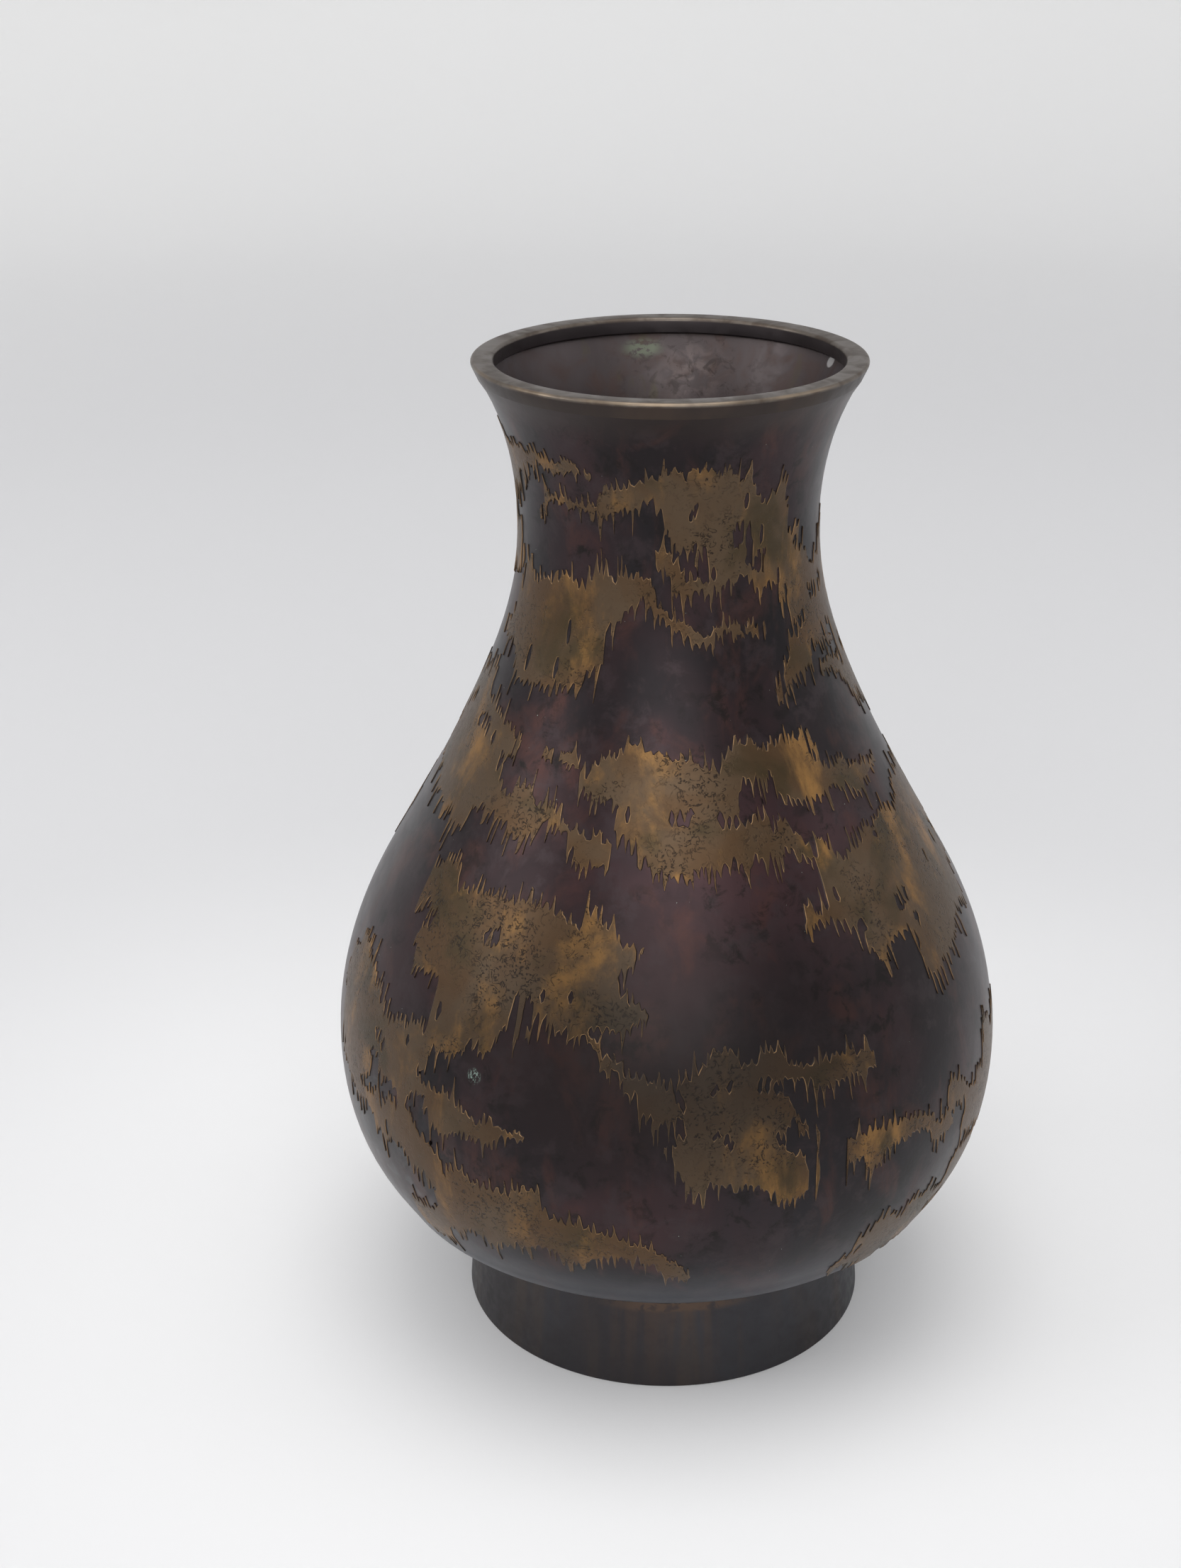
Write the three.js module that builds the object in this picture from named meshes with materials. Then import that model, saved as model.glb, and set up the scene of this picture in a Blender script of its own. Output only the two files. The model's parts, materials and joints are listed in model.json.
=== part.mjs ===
// A pear-shaped bronze flower vase: a thin cast body, a thick turned lip, a separate ring foot,
// a plate that closes the bottom inside the foot, and the bead of solder round the foot joint.
// Every piece is turned on the same upright axis, so each is a closed outline revolved about Z.
// Millimetres, +Z up, origin at the centre of the face that the foot stands on.
import * as THREE from "three";

// Overall sizes
const vaseHeight = 260;
const wallThickness = 2.4;

// Body: radius and height of the places that its outline passes through
const bellyTurnRadius = 75; // where the underside turns up into the belly
const bellyTurnHeight = 41.7;
const bellyRadius = 87; // widest
const bellyHeight = 80.5;
const shoulderRadius = 70; // steepest
const shoulderHeight = 134.7;
const neckRadius = 37.2; // narrowest
const neckHeight = 220;
const lipSeatRadius = 46.3;

// Foot ring
const footHeight = 27.4;
const footTopRadius = 52;
const footBottomRadius = 53.9;
const footWall = 3;
const footEdgeRadius = 0.5;
const footInnerBevel = 0.6;

// Base plate, which closes the bottom from below, and the opening that it closes
const bottomOpeningRadius = 42;
const basePlateThickness = 2.5;
const basePlateClearance = 0.3;
const basePlateBevel = 0.4;

// Lip ring
const lipHeight = 4;
const mouthBoreRadius = 42.3;
const lipFaceLean = 25;
const lipOuterEdgeRadius = 0.7;
const lipInnerEdgeRadius = 0.9;
const lipUnderBevel = 0.3;

// Solder bead in the corner between the foot and the underside of the body
const solderReach = 3;
const solderDrop = 2.6;
const solderEdge = 0.4;
const solderGap = 0.3;

// The body's outline runs smoothly through these stations, from the foot joint to the lip's seat.
// lean is the outline's angle from upright in degrees, positive where it widens upwards, and the
// pulls are how strongly the curves below and above a station hold to that angle.
const outlineStations = [
  { radius: footTopRadius, height: footHeight, lean: 56, pullBelow: 0, pullAbove: 0.8 },
  { radius: bellyTurnRadius, height: bellyTurnHeight, lean: 28, pullBelow: 0.21, pullAbove: 0.12 },
  { radius: bellyRadius, height: bellyHeight, lean: 0, pullBelow: 0.6, pullAbove: 0.445 },
  { radius: shoulderRadius, height: shoulderHeight, lean: -30, pullBelow: 0.2, pullAbove: 0.6 },
  { radius: neckRadius, height: neckHeight, lean: 0, pullBelow: 0.206, pullAbove: 0.448 },
  { radius: lipSeatRadius, height: vaseHeight - lipHeight, lean: 31, pullBelow: 0.25, pullAbove: 0 },
];

// Fineness of the facets
const sidesAround = 56;
const outerSteps = [8, 8, 9, 11, 7];
const innerSteps = [6, 7, 7, 8, 5];
const edgeSteps = 4;
const beadSteps = 4;

const radians = THREE.MathUtils.degToRad;

// Unit vector along the outline at a station, with x as radius and y as height.
function tangentOf(station) {
  const lean = radians(station.lean);
  return new THREE.Vector2(Math.sin(lean), Math.cos(lean));
}

function pointOf(station) {
  return new THREE.Vector2(station.radius, station.height);
}

// One smooth curve between each station and the next.
function outlineCurves(stations) {
  return stations.slice(1).map((upper, i) => {
    const lower = stations[i];
    const start = pointOf(lower);
    const end = pointOf(upper);
    const span = start.distanceTo(end);
    const leave = start.clone().addScaledVector(tangentOf(lower), span * lower.pullAbove);
    const arrive = end.clone().addScaledVector(tangentOf(upper), -span * upper.pullBelow);
    return new THREE.CubicBezierCurve(start, leave, arrive, end);
  });
}

// The point of a curve at t, moved square to the curve: outwards if offset is positive.
function offsetPoint(curve, t, offset) {
  const along = curve.getTangent(t);
  const outwards = new THREE.Vector2(along.y, -along.x);
  return curve.getPoint(t).addScaledVector(outwards, offset);
}

// Points up the whole outline, with a number of steps for each curve.
function outlinePoints(curves, steps, offset) {
  const points = [offsetPoint(curves[0], 0, offset)];
  curves.forEach((curve, i) => {
    for (let k = 1; k <= steps[i]; k++) points.push(offsetPoint(curve, k / steps[i], offset));
  });
  return points;
}

// Points on an arc about a centre, from one angle to another in degrees.
function arcPoints(x, y, radius, fromAngle, toAngle, steps) {
  const points = [];
  for (let k = 0; k <= steps; k++) {
    const angle = radians(fromAngle + ((toAngle - fromAngle) * k) / steps);
    points.push(new THREE.Vector2(x + radius * Math.cos(angle), y + radius * Math.sin(angle)));
  }
  return points;
}

const at = (radius, height) => new THREE.Vector2(radius, height);

// An outline, given anticlockwise, turned about Z into a solid piece. An outline that starts on
// the axis also ends there, and any other is closed on itself.
function turnedPiece(name, outline, material) {
  const profile = outline[0].x === 0 ? outline : [...outline, outline[0].clone()];
  const geometry = new THREE.LatheGeometry(profile, sidesAround);
  geometry.rotateX(Math.PI / 2);
  const mesh = new THREE.Mesh(geometry, material);
  mesh.name = name;
  return mesh;
}

const bodyCurves = outlineCurves(outlineStations);
const lipSeat = outlineStations[outlineStations.length - 1];

// Foot ring: a cone that flares a little downwards, with a rounded standing edge.
const footOuterRadiusAt = (height) =>
  THREE.MathUtils.lerp(footBottomRadius, footTopRadius, height / footHeight);
const footInnerTopRadius = footTopRadius - footWall;
const footInnerBottomRadius = footBottomRadius - footWall;

function footRing(material) {
  const standingEdge = arcPoints(
    footBottomRadius - footEdgeRadius,
    footEdgeRadius,
    footEdgeRadius,
    -90,
    0,
    edgeSteps,
  );
  return turnedPiece(
    "foot_ring",
    [
      at(footInnerBottomRadius + footInnerBevel, 0),
      ...standingEdge,
      at(footTopRadius, footHeight),
      at(footInnerTopRadius, footHeight),
      at(footInnerBottomRadius, footInnerBevel),
    ],
    material,
  );
}

// Base plate: pressed up against the underside of the body, inside the top of the foot ring.
function basePlate(material) {
  const radius = footInnerTopRadius - basePlateClearance;
  const underside = footHeight - basePlateThickness;
  return turnedPiece(
    "base_plate",
    [
      at(0, underside),
      at(radius - basePlateBevel, underside),
      at(radius, underside + basePlateBevel),
      at(radius, footHeight),
      at(0, footHeight),
    ],
    material,
  );
}

// Body: the outline outside, the same outline one wall thickness in, and a floor left open in the
// middle. Its top edge is cut square as the seat of the lip ring.
function bodyShell(material) {
  const outside = outlinePoints(bodyCurves, outerSteps, 0);
  const inside = outlinePoints(bodyCurves, innerSteps, -wallThickness);
  const mouthWall = wallThickness / Math.cos(radians(lipSeat.lean));
  inside[inside.length - 1] = at(lipSeat.radius - mouthWall, lipSeat.height);
  const floorHeight = inside[0].y;
  return turnedPiece(
    "body_shell",
    [
      at(bottomOpeningRadius, footHeight),
      ...outside,
      ...inside.reverse(),
      at(bottomOpeningRadius, floorHeight),
    ],
    material,
  );
}

// Lip ring: its outer face carries on the flare of the body, and both upper edges are rounded.
function mouthRing(material) {
  const lean = radians(lipFaceLean);
  const outerEdgeHeight = vaseHeight - lipOuterEdgeRadius;
  const faceRadius = lipSeat.radius + (outerEdgeHeight - lipSeat.height) * Math.tan(lean);
  const outerEdgeRadius = faceRadius - lipOuterEdgeRadius / Math.cos(lean);
  return turnedPiece(
    "mouth_ring",
    [
      at(mouthBoreRadius + lipUnderBevel, lipSeat.height),
      at(lipSeat.radius, lipSeat.height),
      ...arcPoints(outerEdgeRadius, outerEdgeHeight, lipOuterEdgeRadius, -lipFaceLean, 90, 2 * edgeSteps),
      ...arcPoints(
        mouthBoreRadius + lipInnerEdgeRadius,
        vaseHeight - lipInnerEdgeRadius,
        lipInnerEdgeRadius,
        90,
        180,
        edgeSteps,
      ),
      at(mouthBoreRadius, lipSeat.height + lipUnderBevel),
    ],
    material,
  );
}

// Solder bead: its upper side follows the underside of the body, its inner side the foot, and its
// open side is hollow, as solder draws itself into a corner.
function solderSeam(material) {
  const underBody = bodyCurves[0];
  const reachShare = solderReach / underBody.getLength();
  const upper = [];
  for (let k = 0; k <= beadSteps; k++) {
    const t = underBody.getUtoTmapping((reachShare * k) / beadSteps);
    upper.push(offsetPoint(underBody, t, solderGap));
  }
  const corner = upper[0].setX(footTopRadius + solderGap);
  const tip = upper[upper.length - 1];
  const toeHeight = footHeight - solderDrop;
  const toe = at(footOuterRadiusAt(toeHeight) + solderGap, toeHeight);
  const toeFace = at(toe.x + solderEdge, toe.y);
  const tipFace = at(tip.x, tip.y - solderEdge);
  const hollow = new THREE.QuadraticBezierCurve(toeFace, at(toeFace.x, tipFace.y), tipFace);
  return turnedPiece(
    "solder_seam",
    [toe, ...hollow.getPoints(beadSteps), ...upper.slice(1).reverse(), corner],
    material,
  );
}

const bodyBronze = new THREE.MeshStandardMaterial({ color: 0x3d3133, roughness: 0.38, metalness: 0.85 });
const lipBronze = new THREE.MeshStandardMaterial({ color: 0x77695c, roughness: 0.34, metalness: 0.9 });
const footBronze = new THREE.MeshStandardMaterial({ color: 0x2f2d2e, roughness: 0.6, metalness: 0.7 });
const plateBronze = new THREE.MeshStandardMaterial({ color: 0x4a4038, roughness: 0.65, metalness: 0.7 });
const solderMetal = new THREE.MeshStandardMaterial({ color: 0x4b382d, roughness: 0.7, metalness: 0.5 });

const vase = new THREE.Group();
vase.name = "metal_vase";
vase.add(
  footRing(footBronze),
  basePlate(plateBronze),
  solderSeam(solderMetal),
  bodyShell(bodyBronze),
  mouthRing(lipBronze),
);

export default vase;
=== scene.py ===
# A pear-shaped bronze flower vase: a dark patinated body with brighter cloud bands that end in
# upright fringes, a thick worn lip, a plain ring foot, its soldered joint and the plate under it.
# Sizes in the dictionaries are millimetres and degrees; the meshes are built in metres.
import json
import math

import bpy
import numpy as np
from mathutils import Matrix, Vector, geometry, kdtree

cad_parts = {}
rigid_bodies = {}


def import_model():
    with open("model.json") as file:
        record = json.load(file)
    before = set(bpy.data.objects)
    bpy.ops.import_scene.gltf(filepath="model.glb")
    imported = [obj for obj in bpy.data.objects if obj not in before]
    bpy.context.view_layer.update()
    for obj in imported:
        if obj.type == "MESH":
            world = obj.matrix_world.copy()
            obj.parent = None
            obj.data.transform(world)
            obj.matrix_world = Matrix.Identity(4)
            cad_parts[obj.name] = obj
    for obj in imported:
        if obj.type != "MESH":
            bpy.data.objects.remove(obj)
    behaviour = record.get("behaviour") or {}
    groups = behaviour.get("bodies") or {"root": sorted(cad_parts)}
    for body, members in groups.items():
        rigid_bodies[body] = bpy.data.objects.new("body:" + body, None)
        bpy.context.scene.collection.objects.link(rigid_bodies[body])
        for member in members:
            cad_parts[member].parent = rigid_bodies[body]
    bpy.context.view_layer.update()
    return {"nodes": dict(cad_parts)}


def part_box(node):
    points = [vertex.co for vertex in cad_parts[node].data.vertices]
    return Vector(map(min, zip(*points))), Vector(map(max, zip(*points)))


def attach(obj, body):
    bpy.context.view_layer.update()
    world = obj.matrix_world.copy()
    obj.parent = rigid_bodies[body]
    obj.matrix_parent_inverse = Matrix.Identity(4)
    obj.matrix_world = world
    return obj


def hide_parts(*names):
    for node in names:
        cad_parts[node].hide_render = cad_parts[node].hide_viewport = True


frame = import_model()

mm = 0.001
fullTurn = 2 * math.pi
sidesRound = 192 # sides of every turned surface
print("frame loaded:", ", ".join(sorted(frame["nodes"])))


# Outlines of the turned pieces, taken from the frame

# (radius, height) corners of a turned piece where it is cut through +X. An outline that meets the
# axis starts there, and any other starts at its lowest inner corner; both run anticlockwise.
def cutOutline(nodeName):
    mesh = frame["nodes"][nodeName].data
    cornerOf = {}
    for vertex in mesh.vertices:
        x, y, z = vertex.co
        if x > -1e-6 and abs(y) < 1e-6:
            cornerOf[vertex.index] = (round(max(x, 0.0), 6), round(z, 6))
    nextTo = {}
    for edge in mesh.edges:
        first, second = (cornerOf.get(index) for index in edge.vertices)
        if first and second and first != second:
            nextTo.setdefault(first, set()).add(second)
            nextTo.setdefault(second, set()).add(first)
    ends = [corner for corner in nextTo if len(nextTo[corner]) == 1]
    outline = [min(ends or nextTo, key=lambda corner: (corner[1], corner[0]))]
    while True:
        ahead = [corner for corner in nextTo[outline[-1]] if corner not in outline]
        if not ahead:
            return outline
        outline.append(max(ahead))


# Distances along a line of points, from its first point
def lengthsAlong(points):
    spans = np.linalg.norm(np.diff(points, axis=0), axis=1)
    return np.concatenate([[0.0], np.cumsum(spans)])


# A smooth curve through the corners, with points about one step apart
def smoothPath(corners, step):
    corners = np.array(corners, float)
    along = lengthsAlong(corners)
    slope = np.gradient(corners, along, axis=0)
    fine = np.linspace(0.0, along[-1], max(2, round(along[-1] / step) + 1))
    cell = np.clip(np.searchsorted(along, fine, side="right") - 1, 0, len(along) - 2)
    width = np.diff(along)[cell][:, None]
    t = (fine - along[cell])[:, None] / width
    return (
        (2 * t**3 - 3 * t**2 + 1) * corners[cell]
        + (t**3 - 2 * t**2 + t) * width * slope[cell]
        + (3 * t**2 - 2 * t**3) * corners[cell + 1]
        + (t**3 - t**2) * width * slope[cell + 1]
    )


# Points along a straight stretch, so that a long flat face isn't one strip
def stretch(first, second, step):
    count = max(1, round(np.linalg.norm(second - first) / step))
    return [first + (second - first) * k / count for k in range(count)]


# Points at a turn from the front round the axis, a radius and a height
def roundPoints(turn, radius, height):
    turn, radius, height = np.broadcast_arrays(turn, radius, height)
    return np.stack([radius * np.sin(turn), -radius * np.cos(turn), height], axis=1)


# Faces between rows of point numbers that each run once round, and their places on the UV map,
# where each row has its level
def ringFaces(rows, levels):
    faces, uvs = [], []
    for lower, upper, low, high in zip(rows, rows[1:], levels, levels[1:]):
        sides = len(lower)
        for j in range(sides):
            after = (j + 1) % sides
            left, right = j / sides, (j + 1) / sides
            faces.append([lower[j], lower[after], upper[after], upper[j]])
            uvs.extend([(left, low), (right, low), (right, high), (left, high)])
    return faces, uvs


def linked(name, data):
    made = bpy.data.objects.new(name, data)
    bpy.context.scene.collection.objects.link(made)
    return made


def finishMesh(name, vertices, faces, uvs, material, sharpAngle=32):
    mesh = bpy.data.meshes.new(name)
    mesh.from_pydata([tuple(v) for v in vertices], [], [tuple(f) for f in faces])
    mesh.polygons.foreach_set("use_smooth", [True] * len(mesh.polygons))
    mesh.set_sharp_from_angle(angle=math.radians(sharpAngle))
    layer = mesh.uv_layers.new(name="OFBake")
    layer.data.foreach_set("uv", np.array(uvs, np.float32).ravel())
    mesh.materials.append(material)
    return linked(name, mesh)


# A turned surface from an outline. An end on the axis closes there in a fan, and an outline that
# doesn't reach the axis is closed on itself.
def turnedMesh(name, outline, material, shape=None, sides=sidesRound):
    outline = np.array(outline, float)
    startsOnAxis, endsOnAxis = (bool(outline[end][0] < 1e-9) for end in (0, -1))
    closed = not startsOnAxis and not endsOnAxis
    if closed:
        outline = np.concatenate([outline, outline[:1]])
    levels = lengthsAlong(outline)
    levels /= levels[-1]
    rings = slice(int(startsOnAxis), len(outline) - (closed or endsOnAxis))
    turns = fullTurn * np.arange(sides) / sides
    vertices, rows = [], []
    for radius, height in outline[rings]:
        ring = roundPoints(turns, radius, height)
        rows.append(range(len(vertices), len(vertices) + sides))
        vertices.extend(shape(turns, ring) if shape else ring)
    if closed:
        rows.append(rows[0])
    rowLevels = levels if closed else levels[rings]
    faces, uvs = ringFaces(rows, rowLevels)
    for end, onAxis in ((0, startsOnAxis), (-1, endsOnAxis)):
        if not onAxis:
            continue
        pole = len(vertices)
        vertices.append((0.0, 0.0, outline[end][1]))
        for j in range(sides):
            pair = (j + 1, j) if end == 0 else (j, j + 1)
            faces.append([rows[end][side % sides] for side in pair] + [pole])
            uvs.extend((side / sides, rowLevels[end]) for side in pair)
            uvs.append(((j + 0.5) / sides, levels[end]))
    return finishMesh(name, vertices, faces, uvs, material)


# Shader building: the helpers add nodes to the finish that newFinish began last
bench = {} # its material, its node tree and its object coordinates


# A colour of 0 to 255 as a shader takes it
def colour(channels):
    shares = [value / 255 for value in channels]
    return (*(s / 12.92 if s <= 0.04045 else ((s + 0.055) / 1.055) ** 2.4 for s in shares), 1.0)


# Links an output to a socket, or sets the socket to a number, a vector or a colour
def plug(socket, value):
    if isinstance(value, bpy.types.NodeSocket):
        bench["tree"].links.new(value, socket)
    else:
        socket.default_value = colour(value) if socket.type == "RGBA" else value


def addNode(kind, inputs=(), **settings):
    made = bench["tree"].nodes.new("ShaderNode" + kind)
    for name, value in settings.items():
        setattr(made, name, value)
    for name, value in dict(inputs).items():
        plug(made.inputs[name], value)
    return made


def newFinish(name):
    material = bpy.data.materials.new(name)
    material.use_nodes = True
    bench.update(material=material, tree=material.node_tree)
    bench["place"] = addNode("TexCoord").outputs["Object"]


def finished(tint, metallic, roughness, normal, coat=()):
    values = {"Base Color": tint, "Metallic": metallic, "Roughness": roughness, "Normal": normal}
    for name, value in (values | dict(coat)).items():
        plug(bench["tree"].nodes["Principled BSDF"].inputs[name], value)
    return bench["material"]


def blend(share, first, second):
    return addNode("Mix", {0: share, 6: first, 7: second}, data_type="RGBA").outputs[2]


def sums(operation, *values):
    return addNode("Math", enumerate(values), operation=operation).outputs[0]


def product(first, *others):
    for other in others:
        first = sums("MULTIPLY", first, other)
    return first


# value taken from low..high to outLow..outHigh, eased at both ends
def spread(value, low, high, outLow=0.0, outHigh=1.0):
    inputs = {"Value": value, "From Min": low, "From Max": high}
    inputs.update({"To Min": outLow, "To Max": outHigh})
    return addNode("MapRange", inputs, interpolation_type="SMOOTHSTEP").outputs["Result"]


# The same between two places in millimetres, up to most or down from it
def rise(value, low, high, most=1.0):
    return spread(value, low * mm, high * mm, 0.0, most)


def fall(value, low, high, most=1.0):
    return spread(value, low * mm, high * mm, most, 0.0)


def vectorMaths(operation, first, second=(0, 0, 0)):
    made = addNode("VectorMath", {0: first, 1: second}, operation=operation)
    return made.outputs["Value" if operation in ("LENGTH", "DISTANCE") else "Vector"]


# The place on the piece, with its height stretched or squashed
def squeeze(factor):
    place = bench["place"]
    return place if factor == 1 else vectorMaths("MULTIPLY", place, (1, 1, factor))


# Noise from 0 to 1. size is the width of its grains in millimetres; a squash under 1 draws them
# out upwards.
def grain(size, detail=3.0, twist=0.0, roughness=0.55, squash=1):
    inputs = {"Vector": squeeze(squash), "Scale": 1 / (size * mm)}
    inputs.update({"Detail": detail, "Roughness": roughness, "Distortion": twist})
    return addNode("TexNoise", inputs).outputs["Fac"]


# Distance from the middle of the nearest of many cells of about this size
def cells(size):
    inputs = {"Vector": bench["place"], "Scale": 1 / (size * mm)}
    return addNode("TexVoronoi", inputs, feature="F1").outputs["Distance"]


def axisDistance():
    return vectorMaths("LENGTH", squeeze(0))


def heightUp():
    return addNode("SeparateXYZ", {0: bench["place"]}).outputs[2]


# The height, pushed up and down by noise, so that a line drawn at it is ragged
def raggedHeight(noise, sway):
    return sums("MULTIPLY_ADD", sums("SUBTRACT", noise, 0.5), sway * mm, heightUp())


# 1 at a point on the piece, easing to 0 at reach. A flattened one is that many times less high.
def near(point, reach, flatten=1):
    middle = tuple(value * factor * mm for value, factor in zip(point, (1, 1, flatten)))
    return fall(vectorMaths("DISTANCE", squeeze(flatten), middle), 0.0, reach)


# Lays a finish's mottling over a colour. A layer is a colour's name, the most of it that shows, the
# span of the noise over which it comes in, and the noise's values, as for grain; one that keeps to
# patches also has their span, their least share and their noise.
def mottled(finish, layers, tint):
    for name, most, span, noise, *patches in finish[layers]:
        share = spread(grain(*noise), *span, 0.0, most)
        for patchSpan, least, patchNoise in patches:
            share = product(share, spread(grain(*patchNoise), *patchSpan, least, 1.0))
        tint = blend(share, tint, finish[name])
    return tint


# Lays spots over a colour. A spot is as a layer, with its place, as for near, after the name.
def spotted(finish, spots, tint):
    for name, place, most, span, noise in finish[spots]:
        share = product(near(*place), spread(grain(*noise), *span, 0.0, most))
        tint = blend(share, tint, finish[name])
    return tint


def relief(height, depth, below=None):
    inputs = {"Strength": 1.0, "Distance": depth * mm, "Height": height}
    if below is not None:
        inputs["Normal"] = below
    return addNode("Bump", inputs).outputs["Normal"]


# Body ground and clouds: one skin, in which the "cloud" attribute says where the clouds are
bodyFinish = {
    "blackBrown": (31, 26, 28),
    "plum": (66, 45, 47),
    "blueBlack": (32, 33, 37),
    "rust": (78, 49, 43),
    "paler": (58, 48, 50),
    "bloom": (92, 97, 100),
    "bronze": (82, 61, 40),
    "gold": (142, 105, 58),
    "olive": (58, 49, 30),
    "greyTan": (86, 70, 53),
    "pit": (34, 25, 18),
    "rimGlint": (150, 118, 82),
    "groove": (24, 20, 19),
    "speck": (150, 160, 152),
    "green": (178, 202, 190), # a small spot of verdigris
    "worn": (52, 45, 43), # the ground just under the lip
    # painted reflection: bluish slate on the underside, as the pale floor shows in it
    "undersideSheen": (66, 70, 80), # and on the underside
    # places: middle, reach, and how many times wider than high
    # painted sheen: the ground turns plum round this point at the front
    "paintedSheenAt": ((6, -72, 128), 80),
    "greenAt": ((-45.6, -70.8, 102.2), 3.3),
    # painted shade: a broad level patch of shade on the front of the belly
    "frontShadeAt": ((2, -80, 112), 88, 1.9), # the front of the belly is darker in a broad level patch
    # heights over which the ground changes
    "underLip": (247, 256),
    "underside": (30, 60),
    "groundLayers": [
        ("blueBlack", 0.8, (0.44, 0.72), (62, 5, 0.3, 0.55, 0.6)),
        ("rust", 0.6, (0.49, 0.68), (13, 6, 0.5, 0.62, 0.4)),
        ("groove", 0.85, (0.5, 0.62), (5.5, 7, 0.4, 0.72), ((0.42, 0.62), 0.15, (24, 2))),
        ("paler", 0.55, (0.5, 0.64), (10, 7, 0.3, 0.7)),
    ],
    # a pale grey-blue patch low on the left side of the belly
    "groundSpots": [("bloom", ((-76, -46, 60), 56), 0.5, (0.45, 0.72), (7, 6, 1.0))],
    "cloudLayers": [
        ("greyTan", 1.0, (0.4, 0.62), (30, 3, 0.5)),
        ("olive", 0.75, (0.52, 0.68), (19, 3, 0.4)),
        ("gold", 1.0, (0.5, 0.72), (16, 7, 0.3, 0.66, 0.4)),
        ("bronze", 0.3, (0.45, 0.7), (8, 6, 0.3, 0.62)),
    ],
    # spans of the cloud attribute, which goes from 0 at the foot of a cloud's slope to 1 at its top
    "cloudSpan": (0.35, 0.6),
    "grooveSpan": (0.02, 0.2),
    "rimSpans": ((0.55, 0.8), (0.94, 0.995)),
    "grooveShare": 0.9,
    "frontShadeShare": 0.78,
    "metallic": 0.85,
    "groundRough": (0.2, 0.27), # a share of the noise, and what is added to it
    "cloudRough": (0.2, 0.32),
    "wax": {"Coat Weight": 0.12, "Coat Roughness": 0.34},
    # depth of the dents, the pores and the eaten marks
    "dents": 0.05,
    "pores": 0.02,
    "eaten": 0.12,
}


# Worm-like marks and small pits where the clouds are eaten: 1 inside one
def eatenMarks():
    worm = sums("ABSOLUTE", sums("SUBTRACT", grain(2.1, 1.2, 1.4), 0.5))
    worm = product(spread(worm, 0.01, 0.045, 1.0, 0.0), spread(grain(1.6, 1), 0.46, 0.54))
    pits = product(spread(cells(1.0), 0.14, 0.34, 1.0, 0.0), spread(grain(2.6, 1), 0.46, 0.56))
    return product(sums("MAXIMUM", worm, pits), spread(grain(17, 2), 0.42, 0.62, 0.12, 1.0))


def patinatedBronze():
    finish = bodyFinish
    newFinish("patinated bronze with clouds")
    drift, mottle, fine = grain(46, 3, 0.4), grain(8, 6, 0.3, 0.62), grain(1.3, 4)

    # ground: black-brown that turns plum, blue-black or rusty in slow drifts, with small mottling;
    # the plum round a point at the front of the belly is a painted sheen of light
    # painted sheen near the front middle, plus plum patina in slow drifts
    plumDriftAndSheen = product(near(*finish["paintedSheenAt"]), 0.65)
    plumDriftAndSheen = sums("ADD", plumDriftAndSheen, spread(drift, 0.42, 0.66, 0.0, 0.55))
    ground = blend(plumDriftAndSheen, finish["blackBrown"], finish["plum"])
    ground = mottled(finish, "groundLayers", ground)
    ground = blend(rise(raggedHeight(mottle, 6), *finish["underLip"], 0.8), ground, finish["worn"])
    # painted reflection: the underside turns bluish, as the pale floor below shows in it
    ground = blend(fall(heightUp(), *finish["underside"], 0.8), ground, finish["undersideSheen"])
    ground = spotted(finish, "groundSpots", ground)
    speckle = product(spread(grain(0.8, 1), 0.81, 0.83), spread(drift, 0.5, 0.56))
    ground = blend(speckle, ground, finish["speck"])
    crust = spread(grain(0.55, 3, 1.0, 0.7, 0.4), 0.49, 0.57)
    crust = product(crust, spread(near(*finish["greenAt"]), 0.2, 0.9))
    ground = blend(crust, ground, finish["green"])

    # clouds: dull bronze, olive or greyish, rubbed to gold here and there, the gold partly a
    # painted glint of light, eaten by small pits
    eaten = eatenMarks()
    bright = mottled(finish, "cloudLayers", finish["bronze"])
    bright = blend(product(eaten, 0.9), bright, finish["pit"])

    # a dark groove round each cloud, dark patina that is partly painted shade at the foot of the
    # raised edge, and a painted glint, a bright line along parts of its rim
    edge = addNode("Attribute", attribute_name="cloud").outputs["Fac"]
    share = spread(edge, *finish["cloudSpan"])
    tint = blend(share, ground, bright)
    # painted shade over ground and clouds on the front of the belly
    dark = product(near(*finish["frontShadeAt"]), finish["frontShadeShare"])
    tint = blend(dark, tint, finish["groove"])
    # painted shade, partly groove patina: the foot of each cloud's slope is darkened
    bare = spread(edge, *finish["cloudSpan"], 1.0, 0.0)
    groove = product(spread(edge, *finish["grooveSpan"]), bare, finish["grooveShare"])
    tint = blend(groove, tint, finish["groove"])
    rimFrom, rimTo = finish["rimSpans"]
    # painted glint: a bright line along the upper part of each cloud's slope
    rimGlint = product(spread(edge, *rimFrom), spread(edge, *rimTo, 1.0, 0.0))
    rimGlint = product(rimGlint, spread(grain(6, 3), 0.4, 0.62, 0.1, 0.9))
    tint = blend(rimGlint, tint, finish["rimGlint"])

    groundRough = sums("MULTIPLY_ADD", mottle, *finish["groundRough"])
    brightRough = sums("MULTIPLY_ADD", fine, *finish["cloudRough"])
    pores = relief(fine, finish["pores"], relief(grain(16, 1), finish["dents"]))
    surface = relief(product(eaten, share, -1.0), finish["eaten"], pores)
    rough = blend(share, groundRough, brightRough)
    return finished(tint, finish["metallic"], rough, surface, finish["wax"])


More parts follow.
